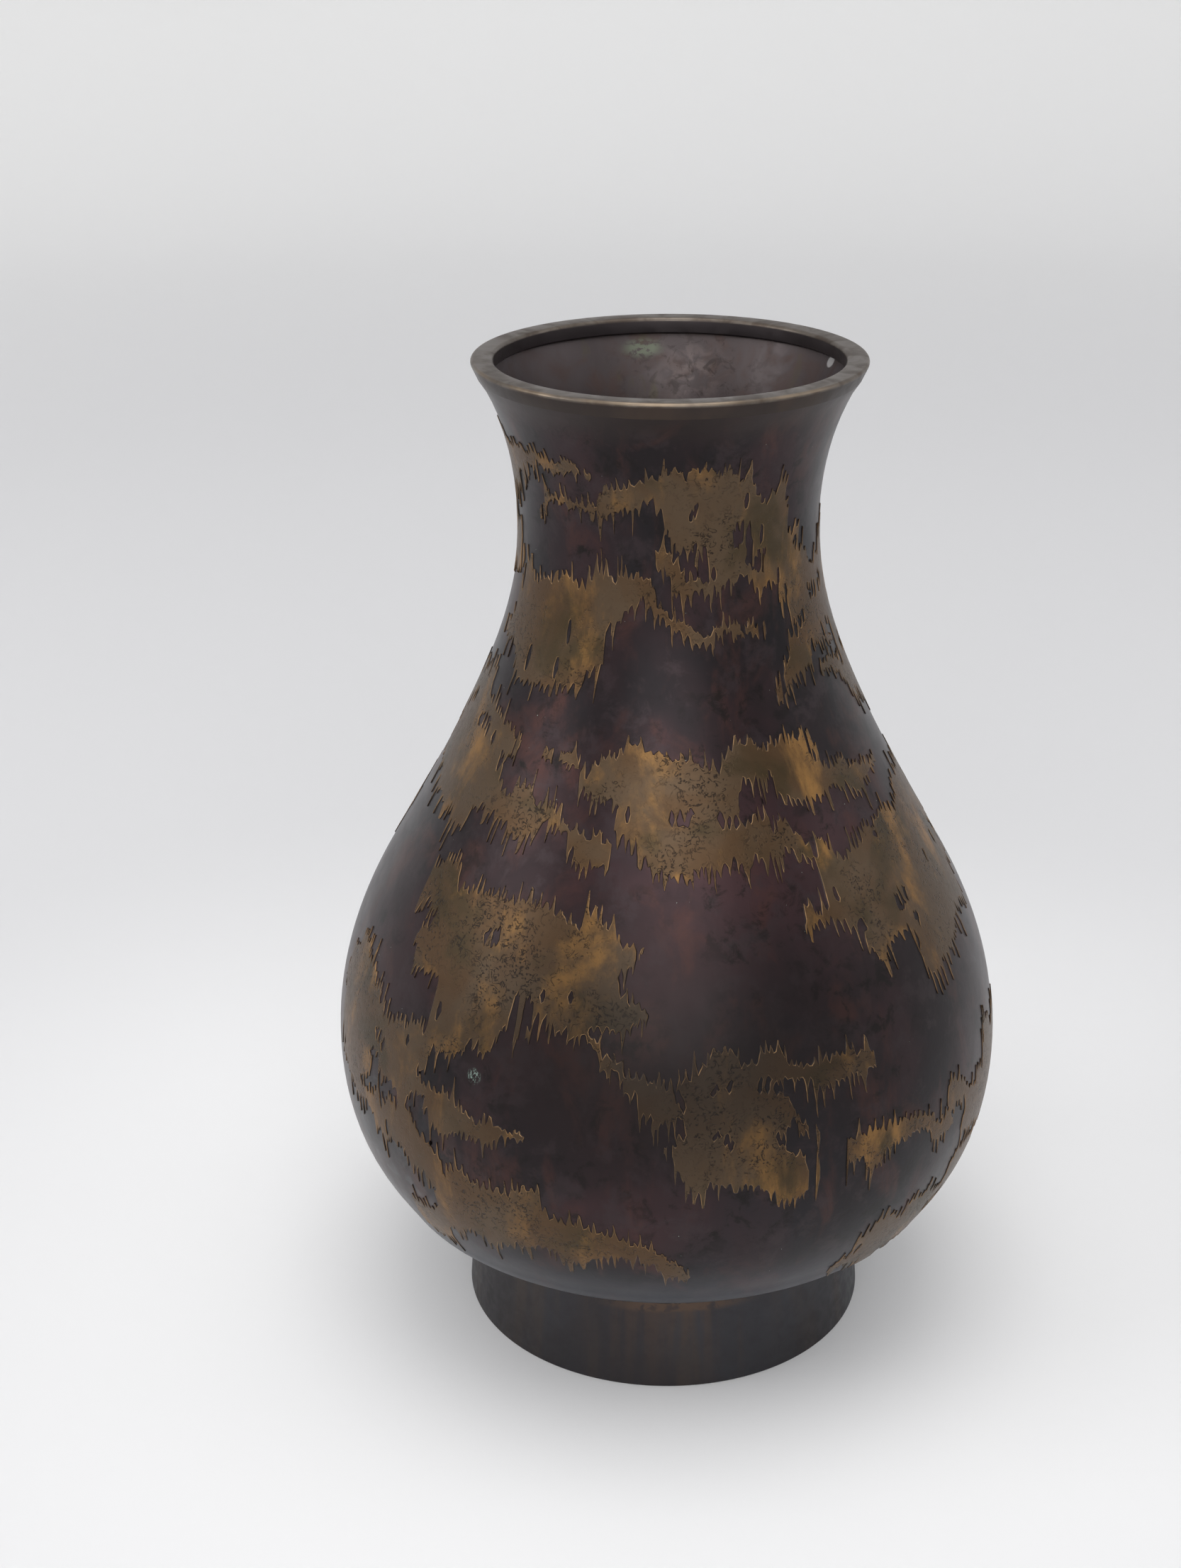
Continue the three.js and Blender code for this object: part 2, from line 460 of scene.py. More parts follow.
insideFinish = {
    "wall": (76, 68, 68),
    "ruddy": (84, 66, 60),
    "olive": (80, 74, 56),
    "pale": (112, 100, 97),
    "verdigris": (98, 102, 88),
    "stain": (54, 46, 44),
    "dim": (64, 56, 58), # away from the pale spot
    # a small near-white spot inside, near the top
    "whiteSpot": (172, 169, 168),
    "dimFrom": ((6, 40, 246), 62),
    "whiteSpotAt": ((40, 16.3, 254.6), 3),
    "ruddyBelow": (215, 248), # heights over which the wall stops being ruddy
    "upperLayers": [("ruddy", 0.6, (0.45, 0.7), (9, 6, 0.8))],
    "streakLayers": [("olive", 0.5, (0.6, 0.75), (5, 4, 0.6, 0.55, 0.16))],
    "spots": [
        ("pale", ((6, 40, 246), 13), 0.7, (0.42, 0.62), (4.5, 5, 1.0)),
        ("stain", ((8, 40, 244), 34), 0.7, (0.52, 0.62), (3.4, 6, 0.8, 0.68)),
    ],
    "verdigrisSpots": [
        ("verdigris", ((-7, 41, 252.5), 7, 2.2), 1.6, (0.4, 0.52), (2.4, 6, 0.2, 0.7, 2)),
    ],
    "metallic": 0.6,
}


def insidePatina():
    finish = insideFinish
    newFinish("patina inside the vase")
    mottle = grain(9, 6, 0.8)
    tint = mottled(finish, "upperLayers", finish["wall"])
    tint = blend(fall(heightUp(), *finish["ruddyBelow"], 0.75), tint, finish["ruddy"])
    tint = mottled(finish, "streakLayers", tint)
    tint = spotted(finish, "spots", tint)
    tint = blend(spread(near(*finish["dimFrom"]), 0.0, 0.75, 0.55, 0.0), tint, finish["dim"])
    tint = spotted(finish, "verdigrisSpots", tint)
    tint = blend(spread(near(*finish["whiteSpotAt"]), 0.35, 0.6), tint, finish["whiteSpot"])
    rough = spread(mottle, 0.3, 0.75, 0.38, 0.6)
    return finished(tint, finish["metallic"], rough, relief(mottle, 0.12))


# The body's outer skin: radius, height and outward direction by distance up the outline
body = {
    "relief": 0.26, # how far the clouds stand above the ground
    "slope": 0.42, # width of a cloud's sloping edge
    "slopeShares": (1.0, 0.8, 0.6, 0.45, 0.3), # shares of it that are tried in turn at narrow tips
    "leastSlope": 0.22, # the share that is kept where none of them has room
    "gridStep": 3.2, # between the ground's points
    "edgeRoom": 1.1, # between them and the clouds' edges
    "backRoom": 0.3, # and between those up the back and the edges that cross there
    "endFade": 2.0, # height over which the relief and the clouds fade out at both ends
    "columns": 2200, # upright strips in which the clouds' edges are found
    "rowStep": 0.5,
    "plainFoot": 9.0, # bare skin above the foot and under the lip
    "plainLip": 6.0,
    "straighten": 0.03, # how far a point may lie off an edge that is drawn straight
    "smallest": 1.2, # area under which a cloud or a gap is left out
    "innerStep": 3, # between the rings of the inner wall
    "seed": 42,
}
outline = cutOutline("body_shell")
topIndex = max(range(len(outline)), key=lambda k: (outline[k][1], outline[k][0]))
skinPath = smoothPath(outline[1:topIndex + 1], 0.25 * mm)
skinAlong = lengthsAlong(skinPath)
skinSlope = np.gradient(skinPath, skinAlong, axis=0)
skinSlope /= np.linalg.norm(skinSlope, axis=1)[:, None]
skinLength = skinAlong[-1]


def skinRadius(along):
    return np.interp(along, skinAlong, skinPath[:, 0])


def skinNormals(turn, along):
    outR = np.interp(along, skinAlong, skinSlope[:, 1])
    outZ = np.interp(along, skinAlong, -skinSlope[:, 0])
    return roundPoints(turn, outR, outZ)


def skinPoints(turn, along, lift=0.0):
    height = np.interp(along, skinAlong, skinPath[:, 1])
    flat = roundPoints(turn, skinRadius(along), height)
    return flat + skinNormals(turn, along) * np.reshape(lift, (-1, 1))


# An angle brought to within half a turn either way
def wrapped(turn):
    return (turn + math.pi) % fullTurn - math.pi


# Clouds: banks of short level bars, stacked with their ends out of line, as mist is usually drawn,
# and most banks have tails that thin out as they drift off
clouds = {
    # height, how many round the body, first one's angle, length, thickness, tilt
    "banks": [
        (233, 3, 30, 40, 25, -8),
        (200, 3, -34, 38, 21, 9),
        (167, 4, 14, 54, 28, -10),
        (129, 4, -30, 72, 33, 9),
        (90, 5, 10, 68, 31, -8),
        (55, 5, -24, 52, 20, 6),
    ],
    "angleJitter": 10,
    "heightJitter": 8,
    "sizeJitter": 0.16,
    "tiltJitter": 10,
    "bars": (2, 5), # fewest, and one more than the most
    "barLength": (0.4, 1.0), # share of the bank's length
    "barThickness": (0.75, 1.2), # share of its even thickness
    "barFill": 1.22, # how far the bars' even thickness fills the bank's, and their spacing in it
    "barSpacing": 1.06,
    "lobeStep": 8, # between the lobes that a bar is made of
    "lobeThickness": (0.8, 1.25), # share of the bar's
    "lobeLength": (1.0, 1.5), # share of its own thickness
    "tails": 0.62, # share of the banks' ends that have one
    "tailLength": (20, 44),
    "tailThickness": (8.0, 3.0), # where it starts and where it ends
    "tailStep": 3.2,
    "tailLevel": 0.6, # how high it starts, and how far out, in half sizes of the bank
    "tailStart": 0.7,
    "tailHeading": 0.4, # how far it may turn from the bank's lean, and how fast it may bend
    "tailBend": 0.02,
    "bays": 0.9, # dents and holes for each bank, their half lengths and half thicknesses
    "bayLength": (3, 6.5),
    "bayThickness": (2.5, 5),
    "bayWeight": -1.1,
    "tailWeight": 0.9,
    "lobeReach": 1.6, # squared distance at which a lobe ends, in half sizes
    # waves: height, how many up the body, how many round it
    "warp": ((5.0, 11, 19), (2.2, 27, 45)), # they push the outlines about
    "wander": ((0.15, 36, 60), (0.09, 90, 150)), # and make them ragged
    "strokeColumns": (5, 13), # width of the upright strokes that the sides break up into
    "strokeStep": 8.0, # height over which a stroke shifts sideways
    "strokeShift": 3.2, # and how far
    "shows": 0.25, # a cloud shows where its field is above this
}


# A place in a bank, turned by the bank's lean
def leaned(x, y, lean):
    cosLean, sinLean = math.cos(lean), math.sin(lean)
    return x * cosLean - y * sinLean, x * sinLean + y * cosLean


# (angle, height, x, y, half length, half thickness, lean, weight), x and y from the bank's middle
def cloudLobes(rng):
    lobes = []
    for height, count, start, length, thickness, tilt in clouds["banks"]:
        for k in range(count):
            jitter = rng.uniform(-1, 1) * clouds["angleJitter"]
            turn = math.radians(start + 360 * k / count + jitter)
            middle = height + rng.uniform(-1, 1) * clouds["heightJitter"]
            size = 1 + rng.uniform(-1, 1) * clouds["sizeJitter"]
            lean = math.radians(tilt + rng.uniform(-1, 1) * clouds["tiltJitter"])
            bars = rng.integers(*clouds["bars"])
            for n in range(bars):
                place = turn, middle, length * size, thickness * size / bars, lean
                lobes.extend(cloudBar(rng, *place, n - (bars - 1) / 2))
            half, thick = length * size / 2, thickness * size / 2
            for _ in range(round(clouds["bays"] + rng.random())):
                x, y = rng.uniform(-0.8, 0.8) * half, rng.uniform(-1.0, 1.0) * thick
                bay = rng.uniform(*clouds["bayLength"]), rng.uniform(*clouds["bayThickness"])
                lobes.append((turn, middle, x, y, *bay, 0, clouds["bayWeight"]))
            for side in (-1, 1):
                if rng.random() < clouds["tails"]:
                    level = rng.uniform(-1, 1) * clouds["tailLevel"] * thick
                    tailAt = leaned(side * clouds["tailStart"] * half, level, lean)
                    lobes.extend(cloudTail(rng, turn, middle, side, tailAt, lean))
    return lobes


def cloudBar(rng, turn, middle, bankLength, evenThick, lean, level):
    length = bankLength * rng.uniform(*clouds["barLength"])
    thick = clouds["barFill"] * evenThick * rng.uniform(*clouds["barThickness"])
    barX = rng.uniform(-0.5, 0.5) * (bankLength - length)
    barY = level * clouds["barSpacing"] * evenThick
    lobes = []
    for share in np.linspace(-0.5, 0.5, max(2, round(length / clouds["lobeStep"]))):
        plump = thick / 2 * rng.uniform(*clouds["lobeThickness"])
        y = barY + rng.uniform(-0.15, 0.15) * thick
        x, y = leaned(barX + share * (length - thick), y, lean)
        wide = max(plump * rng.uniform(*clouds["lobeLength"]), 0.75 * clouds["lobeStep"])
        lobes.append((turn, middle, x, y, wide, plump, lean, 1.0))
    return lobes


def cloudTail(rng, turn, middle, side, start, lean):
    heading = lean + rng.uniform(-1, 1) * clouds["tailHeading"]
    bend = rng.uniform(-1, 1) * clouds["tailBend"]
    x, y = start
    length, step = rng.uniform(*clouds["tailLength"]), clouds["tailStep"]
    thickStart, thickEnd = clouds["tailThickness"]
    lobes = []
    for k in range(int(length / step)):
        half = (thickStart + (thickEnd - thickStart) * k * step / length) / 2
        half *= rng.uniform(0.8, 1.2)
        lobes.append((turn, middle, x, y, 1.1 * step, half, heading, clouds["tailWeight"]))
        runX, runY = leaned(side * step, 0, heading)
        x, y = x + runX, y + runY
        heading += bend * step
    return lobes


def eased(share):
    return share**2 * (3 - 2 * share)


# Rows of values, drawn out over more rows
def drawnOut(knots, rows, ease=lambda share: share):
    at = np.linspace(0, len(knots) - 1 - 1e-6, rows)
    row = at.astype(int)
    share = ease((at - row)[:, None])
    return knots[row] * (1 - share) + knots[row + 1] * share


# Smooth random values over rows and columns, the same at both ends of a row
def softNoise(rng, rows, columns, rowCells, columnCells):
    knots = rng.random((rowCells + 1, columnCells))
    at = np.linspace(0, columnCells, columns, endpoint=False)
    column = at.astype(int)
    share = eased(at - column)
    wide = knots[:, column] * (1 - share) + knots[:, (column + 1) % columnCells] * share
    return drawnOut(wide, rows, eased)


# Sideways shifts that differ from one narrow upright strip to the next
def strokeShifts(rng, rows, columns):
    ends = np.cumsum(rng.uniform(*clouds["strokeColumns"], columns))
    strip = np.searchsorted(ends, np.arange(columns))
    stepCount = round(skinLength / mm / clouds["strokeStep"])
    knots = rng.uniform(-1, 1, (stepCount + 1, strip[-1] + 1))
    return clouds["strokeShift"] * drawnOut(knots, rows)[:, strip]


def waves(rng, shape, sizes):
    return sum(height * (2 * softNoise(rng, *shape, *cells) - 1) for height, *cells in sizes)


# How much cloud lies over each point of the skin
def cloudField(rng, turns, alongs):
    shape = (len(alongs), len(turns))
    field = np.zeros(shape)
    pushes = [waves(rng, shape, clouds["warp"]) for _ in range(2)]
    pushes[0] += strokeShifts(rng, *shape)
    pushRoom = sum(wave[0] for wave in clouds["warp"]) + clouds["strokeShift"]
    lobeRoom = math.sqrt(clouds["lobeReach"])
    radii = skinRadius(alongs)[:, None]
    for turn, middle, x, y, halfLength, halfThick, lean, weight in cloudLobes(rng):
        centreAlong = np.interp(middle * mm, skinPath[:, 1], skinAlong) + y * mm
        away = wrapped(turns - turn - x * mm / skinRadius(centreAlong))
        reach = (lobeRoom * max(halfLength, halfThick) + pushRoom) * mm
        rows = np.flatnonzero(np.abs(alongs - centreAlong) < reach)
        if not len(rows):
            continue
        columns = np.flatnonzero(np.abs(away) * radii[rows].min() < reach)
        block = np.ix_(rows, columns)
        dx = away[columns][None, :] * radii[rows] / mm + pushes[0][block]
        dy = (alongs[rows] - centreAlong)[:, None] / mm + pushes[1][block]
        dx, dy = leaned(dx, dy, -lean)
        distance = (dx / halfLength) ** 2 + (dy / halfThick) ** 2
        field[block] += weight * np.clip(1 - distance / clouds["lobeReach"], 0, None) ** 2
    field = np.clip(field, 0, 1) + waves(rng, shape, clouds["wander"]) * (field > 0)
    ends = np.minimum(alongs - body["plainFoot"] * mm, skinLength - body["plainLip"] * mm - alongs)
    return field - np.clip(1 - ends[:, None] / (body["endFade"] * mm), 0, 1)


fringe = {
    "width": (0.8, 2.3), # of one tooth
    "upward": 6.5, # longest spike on upper edges
    "downward": 8.5, # and on lower ones
    "spikes": 0.5, # share of the teeth that are long and pointed
    "spikeLeast": 1.2, # height of the shortest
    "fingers": 0.2, # and long with a blunt end
    "fingerHeight": (1.5, 0.6), # of the shortest, and the tallest's share of the longest spike
    "ragged": 1.6, # height of the small teeth between
    "lean": 0.18,
    "stepWidth": (3.0, 8.0), # the whole edge also goes up and down in steps
    "stepHeight": 2.4,
    "bandHeight": 24, # teeth are drawn afresh for each such stretch up the body
    "taper": 6.0, # clouds thinner than this have shorter teeth
    "endRoom": 20.0, # and so have those nearer than this to the foot or the lip
    "leastGap": 0.5, # stretches of cloud nearer than this in height run together
}
toothShapes = {
    # (share of the width, share of the height)
    "spike": [(0.25, 0.36), (0.46, 1.0), (0.54, 0.97), (0.75, 0.34), (1.0, 0.0)],
    "finger": [(0.16, 0.75), (0.32, 1.0), (0.7, 0.96), (0.86, 0.7), (1.0, 0.0)],
    "nick": [(0.5, 1.0), (1.0, 0.0)],
}


# How far the teeth stand out of an edge at each column, in metres
def fringeLengths(rng, turns, radius, longest):
    at, length = [-math.pi], [0.0]
    level, levelEnd = 0.0, -math.pi
    while at[-1] < math.pi:
        start = at[-1]
        if start >= levelEnd:
            level = rng.uniform(-1, 1) * fringe["stepHeight"]
            levelEnd = start + rng.uniform(*fringe["stepWidth"]) * mm / radius
        width = rng.uniform(*fringe["width"]) * mm / radius
        kind = rng.random()
        if kind < fringe["spikes"]:
            least = fringe["spikeLeast"]
            shape, tall = "spike", least + (longest - least) * rng.random() ** 1.7
        elif kind < fringe["spikes"] + fringe["fingers"]:
            least, most = fringe["fingerHeight"]
            shape, tall = "finger", rng.uniform(least, most * longest)
        else:
            shape, tall = "nick", rng.uniform(0.2, 1.0) * fringe["ragged"]
        lean = rng.uniform(-fringe["lean"], fringe["lean"])
        for across, rising in toothShapes[shape]:
            last = across == 1
            at.append(start + (across if last else across + lean * rising) * width)
            dip = fringe["ragged"] * rng.random() ** 2 if last else 0
            length.append(level + tall * rising - dip)
    order = np.searchsorted(at, math.pi)
    return np.interp(turns, at[:order] + [math.pi], length[:order] + [0.0]) * mm


flecks = {
    "step": (7.0, 9.0), # spacing round and up the body
    "jitter": 0.4,
    "halfWidth": (0.26, 0.55),
    "halfHeight": (1.4, 3.4),
    "leastHeight": 0.15,
    "margin": 1.2,
    "kept": 0.42,
    "groups": 0.5, # the higher, the fewer groups of them
    "groupCells": (8, 16), # how many groups there are up and round the body
    "groupColumns": 200,
}


# For each column, the stretches [low, high] of the skin that clouds cover
def cloudSpans(rng, turns, alongs):
    field = cloudField(rng, turns, alongs)
    bandHeight, leastGap = fringe["bandHeight"] * mm, fringe["leastGap"] * mm
    bandCount = int(skinLength / bandHeight) + 1
    radii = [float(skinRadius((k + 0.5) * bandHeight)) for k in range(bandCount)]
    upward, downward = (
        [fringeLengths(rng, turns, radius, fringe[way]) for radius in radii]
        for way in ("upward", "downward")
    )
    step = alongs[1] - alongs[0]
    spans = []
    for i in range(len(turns)):
        level = field[:, i] - clouds["shows"]
        cross = np.flatnonzero((level[1:] > 0) != (level[:-1] > 0))
        spot = alongs[cross] + step * level[cross] / (level[cross] - level[cross + 1])
        made = []
        for low, high in zip(spot[0::2], spot[1::2]):
            ease = min(1.0, (high - low) / (fringe["taper"] * mm))
            lowEase, highEase = (
                min(ease, room / (fringe["endRoom"] * mm)) for room in (low, skinLength - high)
            )
            low, high = (
                low - downward[int(low / bandHeight)][i] * lowEase,
                high + upward[int(high / bandHeight)][i] * highEase,
            )
            if made and low < made[-1][1] + leastGap:
                made[-1][1] = max(high, made[-1][1])
            elif high - low > leastGap:
                made.append([low, high])
        spans.append(made)
    cutFlecks(rng, turns, spans)
    return spans + [[list(span) for span in spans[0]]]


# Short upright strokes of bare ground, left out of some of the clouds
def cutFlecks(rng, turns, spans):
    acrossStep, upStep = (value * mm for value in flecks["step"])
    rows, jitter = int(skinLength / upStep), flecks["jitter"]
    groups = softNoise(rng, rows + 1, flecks["groupColumns"], *flecks["groupCells"])
    for row in range(1, rows):
        radius = float(skinRadius(row * upStep))
        count = round(fullTurn * radius / acrossStep)
        for k in range(count):
            share = (k + 0.5 * (row % 2) + rng.uniform(-jitter, jitter)) / count
            turn = fullTurn * share - math.pi
            middle = (row + rng.uniform(-jitter, jitter)) * upStep
            halfWidth = rng.uniform(*flecks["halfWidth"]) * mm / radius
            halfHeight = rng.uniform(*flecks["halfHeight"]) * mm
            group = groups[row, int(share * flecks["groupColumns"]) % flecks["groupColumns"]]
            keep = rng.random() < flecks["kept"] and group > flecks["groups"]
            columns = np.flatnonzero(np.abs(turns - turn) < halfWidth)
            if not keep or len(columns) < 3 or columns[0] == 0 or columns[-1] == len(turns) - 1:
                continue
            room = halfHeight + flecks["margin"] * mm
            wholes = [
                next((s for s in spans[i] if s[0] < middle - room and s[1] > middle + room), None)
                for i in columns
            ]
            if None in wholes:
                continue
            for i, whole in zip(columns, wholes):
                half = halfHeight * (1 - ((turns[i] - turn) / halfWidth) ** 2)
                if half >= flecks["leastHeight"] * mm:
                    spans[i].append([middle + half, whole[1]])
                    whole[1] = middle - half
                    spans[i].sort()


# Closed edges of the clouds, from the spans of neighbouring columns
def cloudEdges(turns, spans):
    points, links = [], {}

    def point(column, along):
        points.append((turns[column], along))
        return len(points) - 1

    def link(first, second):
        links.setdefault(first, []).append(second)
        links.setdefault(second, []).append(first)

    ends = [[(point(i, low), point(i, high)) for low, high in here] for i, here in enumerate(spans)]
    for i in range(-1, len(turns)):
        here = spans[i] if i >= 0 else []
        there = spans[i + 1] if i + 1 < len(turns) else []
        touch = [
            (m, n) for m in range(len(here)) for n in range(len(there))
            if here[m][0] < there[n][1] and there[n][0] < here[m][1]
        ]
        for m in set(range(len(here))) - {m for m, n in touch}:
            link(*ends[i][m])
        for n in set(range(len(there))) - {n for m, n in touch}:
            link(*ends[i + 1][n])
        for k, (m, n) in enumerate(touch):
            before = touch[k - 1] if k else None
            if before and before[0] == m:
                apex = point(i, (there[n - 1][1] + there[n][0]) / 2)
                link(ends[i + 1][n - 1][1], apex)
                link(apex, ends[i + 1][n][0])
            elif before and before[1] == n:
                apex = point(i + 1, (here[m - 1][1] + here[m][0]) / 2)
                link(ends[i][m - 1][1], apex)
                link(apex, ends[i][m][0])
            else:
                if before:
                    link(ends[i][before[0]][1], ends[i + 1][before[1]][1])
                link(ends[i][m][0], ends[i + 1][n][0])
        if touch:
            link(ends[i][touch[-1][0]][1], ends[i + 1][touch[-1][1]][1])
    loops, seen = [], set()
    for start in sorted(links):
        if start in seen:
            continue
        loop = [start]
        seen.add(start)
        while True:
            ahead = [other for other in links[loop[-1]] if other not in seen]
            if not ahead:
                break
            loop.append(ahead[0])
            seen.add(ahead[0])
        loops.append(np.array([points[k] for k in loop]))
    return loops


# True for points on the line up the back, where the skin is closed
def atBack(turn):
    return np.abs(turn) > math.pi - 1e-9


# Drops the points of a closed edge that lie nearly straight between their neighbours, but keeps
# those up the back
def straighten(loop, tolerance):
    flat = np.stack([loop[:, 0] * skinRadius(loop[:, 1]), loop[:, 1]], axis=1)
    far = int(np.argmax(np.linalg.norm(flat - flat[0], axis=1)))
    kept = {0, far} | set(np.flatnonzero(atBack(loop[:, 0])).tolist())
    anchors = sorted(kept) + [len(loop)]
    jobs = list(zip(anchors, anchors[1:]))
    while jobs:
        first, last = jobs.pop()
        if last - first < 2:
            continue
        start, end = flat[first], flat[last % len(loop)]
        run = end - start
        rest = flat[first + 1:last] - start
        share = np.clip(rest @ run / max(np.linalg.norm(run), 1e-9) ** 2, 0, 1)
        off = np.linalg.norm(rest - share[:, None] * run, axis=1)
        worst = int(np.argmax(off))
        if off[worst] > tolerance:
            kept.add(first + 1 + worst)
            jobs.extend([(first, first + 1 + worst), (first + 1 + worst, last)])
    return loop[sorted(kept)]


def loopArea(loop):
    x, y = loop[:, 0] * skinRadius(loop[:, 1]), loop[:, 1]
    return 0.5 * abs(np.sum(x * np.roll(y, -1) - np.roll(x, -1) * y))


rng = np.random.default_rng(body["seed"])
columnTurns = np.linspace(-math.pi, math.pi, body["columns"] + 1)
rowAlongs = np.arange(0, skinLength, body["rowStep"] * mm)
loops = cloudEdges(columnTurns, cloudSpans(rng, columnTurns[:-1], rowAlongs))
loops = [straighten(loop, body["straighten"] * mm) for loop in loops if len(loop) > 3]
loops = [loop for loop in loops if len(loop) > 2 and loopArea(loop) > body["smallest"] * mm**2]
print("cloud edges:", len(loops), "loops,", sum(len(loop) for loop in loops), "points")


# Every cloud edge as points on the skin a short step apart, to look up how near an edge is
def edgeTree(step=0.15 * mm):
    places = []
    for loop in loops:
        ahead = np.roll(loop, -1, axis=0)
        across = (ahead[:, 0] - loop[:, 0]) * skinRadius(loop[:, 1])
        length = np.hypot(across, ahead[:, 1] - loop[:, 1])
        for first, second, span in zip(loop, ahead, length):
            number = max(1, math.ceil(span / step))
            places.append(first + (second - first) * np.arange(number)[:, None] / number)
    places = np.concatenate(places)
    tree = kdtree.KDTree(len(places))
    for number, spot in enumerate(skinPoints(places[:, 0], places[:, 1])):
        tree.insert(spot, number)
    tree.balance()
    return tree


# Heights up the back at which the skin has points: its rows and the cloud edges that cross it
def backPoints(rows):
    crossed = sorted({float(a) for loop in loops for t, a in loop if atBack(t)})
    room = body["backRoom"] * mm
    apart = [row for row in rows if all(abs(a - row) > room for a in crossed)]
    return sorted(apart + crossed)


# The skin as triangles between the cloud edges, the ground's points and the four borders
def skinTriangles(tree):
    gridStep = body["gridStep"] * mm
    points, edges = [], []
    for loop in loops:
        first = len(points)
        points.extend(loop)
        edges.extend([(first + k, first + (k + 1) % len(loop)) for k in range(len(loop))])
    edgeCount = len(edges)

    def border(line):
        first = len(points)
        points.extend(line)
        edges.extend([(first + k, first + k + 1) for k in range(len(line) - 1)])
        return range(first, len(points))

    ringTurns = np.linspace(-math.pi, math.pi, sidesRound + 1)
    rows = np.linspace(0, skinLength, round(skinLength / gridStep) + 1)
    backLine = backPoints(rows)
    borders = [border([(turn, along) for turn in ringTurns]) for along in (0.0, skinLength)]
    borders += [border([(turn, along) for along in backLine]) for turn in (-math.pi, math.pi)]
    for row, along in enumerate(rows[1:-1]):
        count = round(fullTurn * skinRadius(along) / gridStep)
        turns = -math.pi + fullTurn * (np.arange(1, count) + 0.5 * (row % 2) - 0.25) / count
        for turn, spot in zip(turns, skinPoints(turns, np.full(len(turns), along))):
            if tree.find(spot)[2] > body["edgeRoom"] * mm:
                points.append((turn, along))
    scale = skinRadius(skinAlong).mean()
    flat = [(turn * scale / mm, along / mm) for turn, along in points]
    made = geometry.delaunay_2d_cdt(flat, edges, [], 0, 1e-5, True)
    vertices = np.array([(x * mm / scale, y * mm) for x, y in (tuple(v) for v in made[0])])
    nowAt = {}
    for number, origins in enumerate(made[3]):
        for origin in origins:
            nowAt[origin] = number
            vertices[number] = points[origin]
    borders = [[nowAt[number] for number in line] for line in borders]
    barrier = set()
    for pair, origins in zip(made[1], made[4]):
        if sum(origin < edgeCount for origin in origins) % 2:
            barrier.add(tuple(sorted(pair)))
    return vertices, [tuple(face) for face in made[2]], barrier, borders


def sidesOf(face):
    return zip(face, (*face[1:], face[0]))


# True for each triangle that lies in a cloud: each cloud edge crossed changes sides
def insideClouds(triangles, barrier, vertices):
    byEdge = {}
    for number, face in enumerate(triangles):
        for side in sidesOf(face):
            byEdge.setdefault(tuple(sorted(side)), []).append(number)
    inside = [None] * len(triangles)
    lowest = min(range(len(triangles)), key=lambda n: sum(vertices[v][1] for v in triangles[n]))
    inside[lowest] = False
    queue = [lowest]
    while queue:
        number = queue.pop()
        for side in sidesOf(triangles[number]):
            pair = tuple(sorted(side))
            for other in byEdge[pair]:
                if inside[other] is None:
                    inside[other] = inside[number] != (pair in barrier)
                    queue.append(other)
    return inside


# Where the points of the clouds' edges go when they are drawn in by the width of the slope, less
# in places too narrow for it, and the direction that faces away from the cloud
def drawnIn(vertices, edges, tree):
    numbers = sorted({v for pair in edges for v in pair})
    slotOf = {v: k for k, v in enumerate(numbers)}
    inward = np.zeros((len(numbers), 2))
    for a, b in edges:
        across = wrapped(vertices[b][0] - vertices[a][0]) * float(skinRadius(vertices[a][1]))
        up = vertices[b][1] - vertices[a][1]
        length = math.hypot(across, up) or 1.0
        for v in (a, b):
            inward[slotOf[v]] += (-up / length, across / length)
    inward /= np.maximum(np.linalg.norm(inward, axis=1), 1e-6)[:, None]
    here = vertices[numbers]
    toSkin = inward / np.stack([skinRadius(here[:, 1]), np.ones(len(here))], axis=1)
    depth = np.full(len(here), body["slope"] * body["leastSlope"] * mm)
    unsettled = np.ones(len(here), bool)
    for share in body["slopeShares"]:
        tried = share * body["slope"] * mm
        probe = here + toSkin * 1.25 * tried
        for k, spot in enumerate(skinPoints(probe[:, 0], probe[:, 1])):
            if unsettled[k] and tree.find(spot)[2] > 1.12 * tried:
                depth[k], unsettled[k] = tried, False
    return numbers, here + toSkin * depth[:, None], -inward


# The rings of the inner wall, from below the lip down to the opening in the bottom
def innerRings():
    step = body["innerStep"] * mm
    inner = list(smoothPath(outline[topIndex + 1:-1], step))
    floorEnd, bottomEnd = np.array(outline[-1]), np.array(outline[0])
    return inner + stretch(inner[-1], floorEnd, step)[1:] + [floorEnd, bottomEnd]


